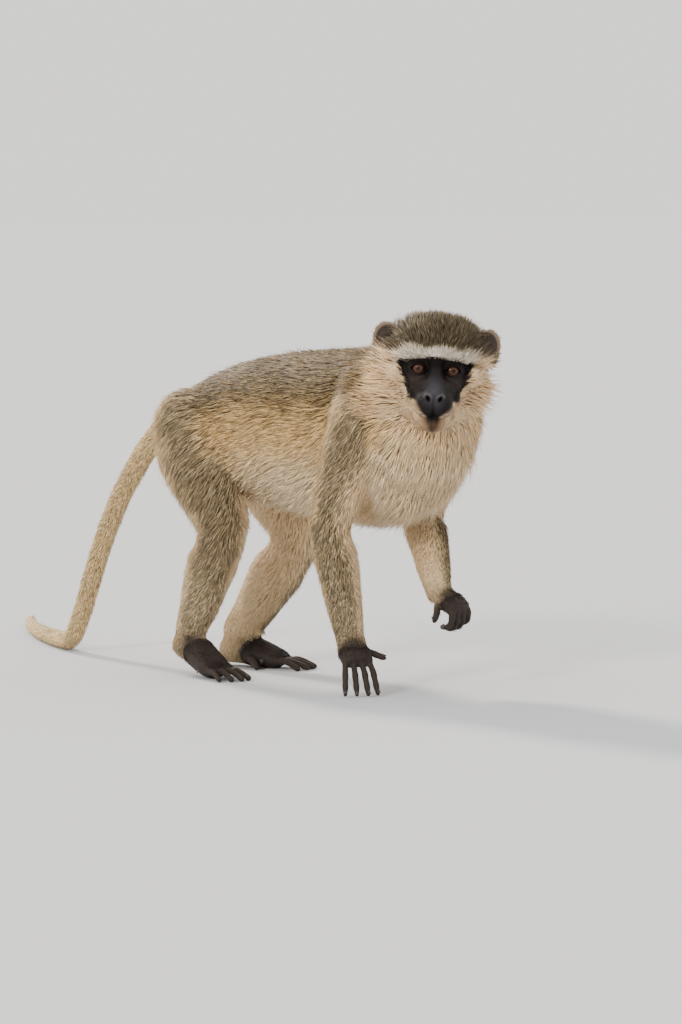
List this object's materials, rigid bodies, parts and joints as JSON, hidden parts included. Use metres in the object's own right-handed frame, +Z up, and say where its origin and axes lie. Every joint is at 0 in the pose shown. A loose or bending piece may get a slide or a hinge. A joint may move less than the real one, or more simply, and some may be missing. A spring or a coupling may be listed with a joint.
{
  "type": "vervet monkey",
  "caption": "Life-size still model of a vervet monkey walking on three limbs, with one hand lifted, its long tail trailing on the ground and its face turned to one side.",
  "frame": {"origin": "middle of the footprint's bounding box, on the ground that the feet, the right hand and the tail rest on", "axes": "+X is the way the trunk points, towards the head; +Y is the animal's left; +Z is up"},
  "size_m": [0.7972, 0.228, 0.3155],
  "materials": {
    "back_coat": "grizzled olive-brown fur, matt",
    "limb_coat": "short grizzled grey-brown fur, matt",
    "pale_coat": "cream fur, matt",
    "dark_skin": "bare dark skin, slightly shiny",
    "ear_skin": "thin grey skin, matt",
    "eye": "wet, glossy"
  },
  "bodies": {
    "root": {"abdomen": "back_coat", "chest": "back_coat", "head": "limb_coat", "hindquarters": "back_coat", "left_big_toe": "dark_skin", "left_ear": "ear_skin", "left_eye": "eye", "left_fifth_toe": "dark_skin", "left_foot": "dark_skin", "left_forearm": "limb_coat", "left_fourth_toe": "dark_skin", "left_hand": "dark_skin", "left_index_finger": "dark_skin", "left_little_finger": "dark_skin", "left_middle_finger": "dark_skin", "left_ring_finger": "dark_skin", "left_second_toe": "dark_skin", "left_shank": "limb_coat", "left_thigh": "limb_coat", "left_third_toe": "dark_skin", "left_thumb": "dark_skin", "left_upper_arm": "limb_coat", "neck": "pale_coat", "right_big_toe": "dark_skin", "right_ear": "ear_skin", "right_eye": "eye", "right_fifth_toe": "dark_skin", "right_foot": "dark_skin", "right_forearm": "limb_coat", "right_fourth_toe": "dark_skin", "right_hand": "dark_skin", "right_index_finger": "dark_skin", "right_little_finger": "dark_skin", "right_middle_finger": "dark_skin", "right_ring_finger": "dark_skin", "right_second_toe": "dark_skin", "right_shank": "limb_coat", "right_thigh": "limb_coat", "right_third_toe": "dark_skin", "right_thumb": "dark_skin", "right_upper_arm": "limb_coat", "tail_1": "pale_coat", "tail_2": "pale_coat", "tail_3": "pale_coat", "tail_4": "pale_coat", "tail_5": "pale_coat"}
  },
  "joints": []
}
